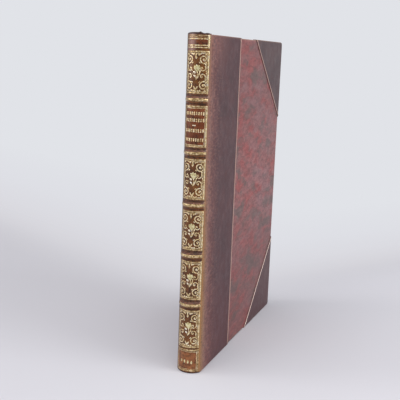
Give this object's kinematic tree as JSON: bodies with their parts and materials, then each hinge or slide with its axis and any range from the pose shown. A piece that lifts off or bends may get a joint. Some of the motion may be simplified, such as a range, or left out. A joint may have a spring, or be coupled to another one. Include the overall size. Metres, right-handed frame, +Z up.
{
  "type": "antique half-leather book",
  "caption": "Tall closed book in half leather with raised bands, gilt tooling, leather corners and marbled paper sides; both covers open on their joints.",
  "frame": {"origin": "on the ground, in the middle of the whole book's thickness and depth", "axes": "+X out of the front cover, -Y out of the spine, +Z up towards the head"},
  "size_m": [0.0192, 0.1818, 0.2513],
  "materials": {
    "pages": "matte, aged cut edges",
    "endpaper": "matte, toned",
    "lining_paper": "matte",
    "spine_leather": "worn, lightly glazed",
    "side_leather": "worn, lightly glazed",
    "corner_leather": "worn, lightly glazed",
    "marbled_paper": "marbled, rubbed",
    "board": "matte millboard",
    "cord": "twisted hemp",
    "end_band_thread": "woven silk",
    "gilding": "worn gold leaf"
  },
  "bodies": {
    "book_block": {"text_block": "pages", "front_flyleaf": "endpaper", "back_flyleaf": "endpaper", "spine_lining": "lining_paper", "spine_leather": "spine_leather", "raised_band_1": "cord", "raised_band_2": "cord", "raised_band_3": "cord", "raised_band_4": "cord", "raised_band_5": "cord", "head_band": "end_band_thread", "tail_band": "end_band_thread", "gilt_panel_1": "gilding", "gilt_panel_2": "gilding", "gilt_panel_3": "gilding", "gilt_panel_4": "gilding", "gilt_panel_5": "gilding", "gilt_title_panel": "gilding", "gilt_head_panel": "gilding", "gilt_date_panel": "gilding", "gilt_band_lines": "gilding"},
    "front_cover": {"front_board": "board", "front_board_infill": "lining_paper", "front_pastedown": "endpaper", "front_leather_side": "side_leather", "front_marbled_side": "marbled_paper", "front_upper_corner": "corner_leather", "front_lower_corner": "corner_leather", "front_corner_fillets": "gilding", "front_side_fillet": "gilding"},
    "back_cover": {"back_board": "board", "back_board_infill": "lining_paper", "back_pastedown": "endpaper", "back_leather_side": "side_leather", "back_marbled_side": "marbled_paper", "back_upper_corner": "corner_leather", "back_lower_corner": "corner_leather", "back_corner_fillets": "gilding", "back_side_fillet": "gilding"}
  },
  "joints": [
    {"name": "front_joint", "type": "hinge", "parent": "book_block", "child": "front_cover", "pos_m": [0.00955, -0.08383, 0.125], "axis": [0, 0, -1], "range_deg": [0, 175]},
    {"name": "back_joint", "type": "hinge", "parent": "book_block", "child": "back_cover", "pos_m": [-0.00955, -0.08383, 0.125], "axis": [0, 0, 1], "range_deg": [0, 175]}
  ]
}
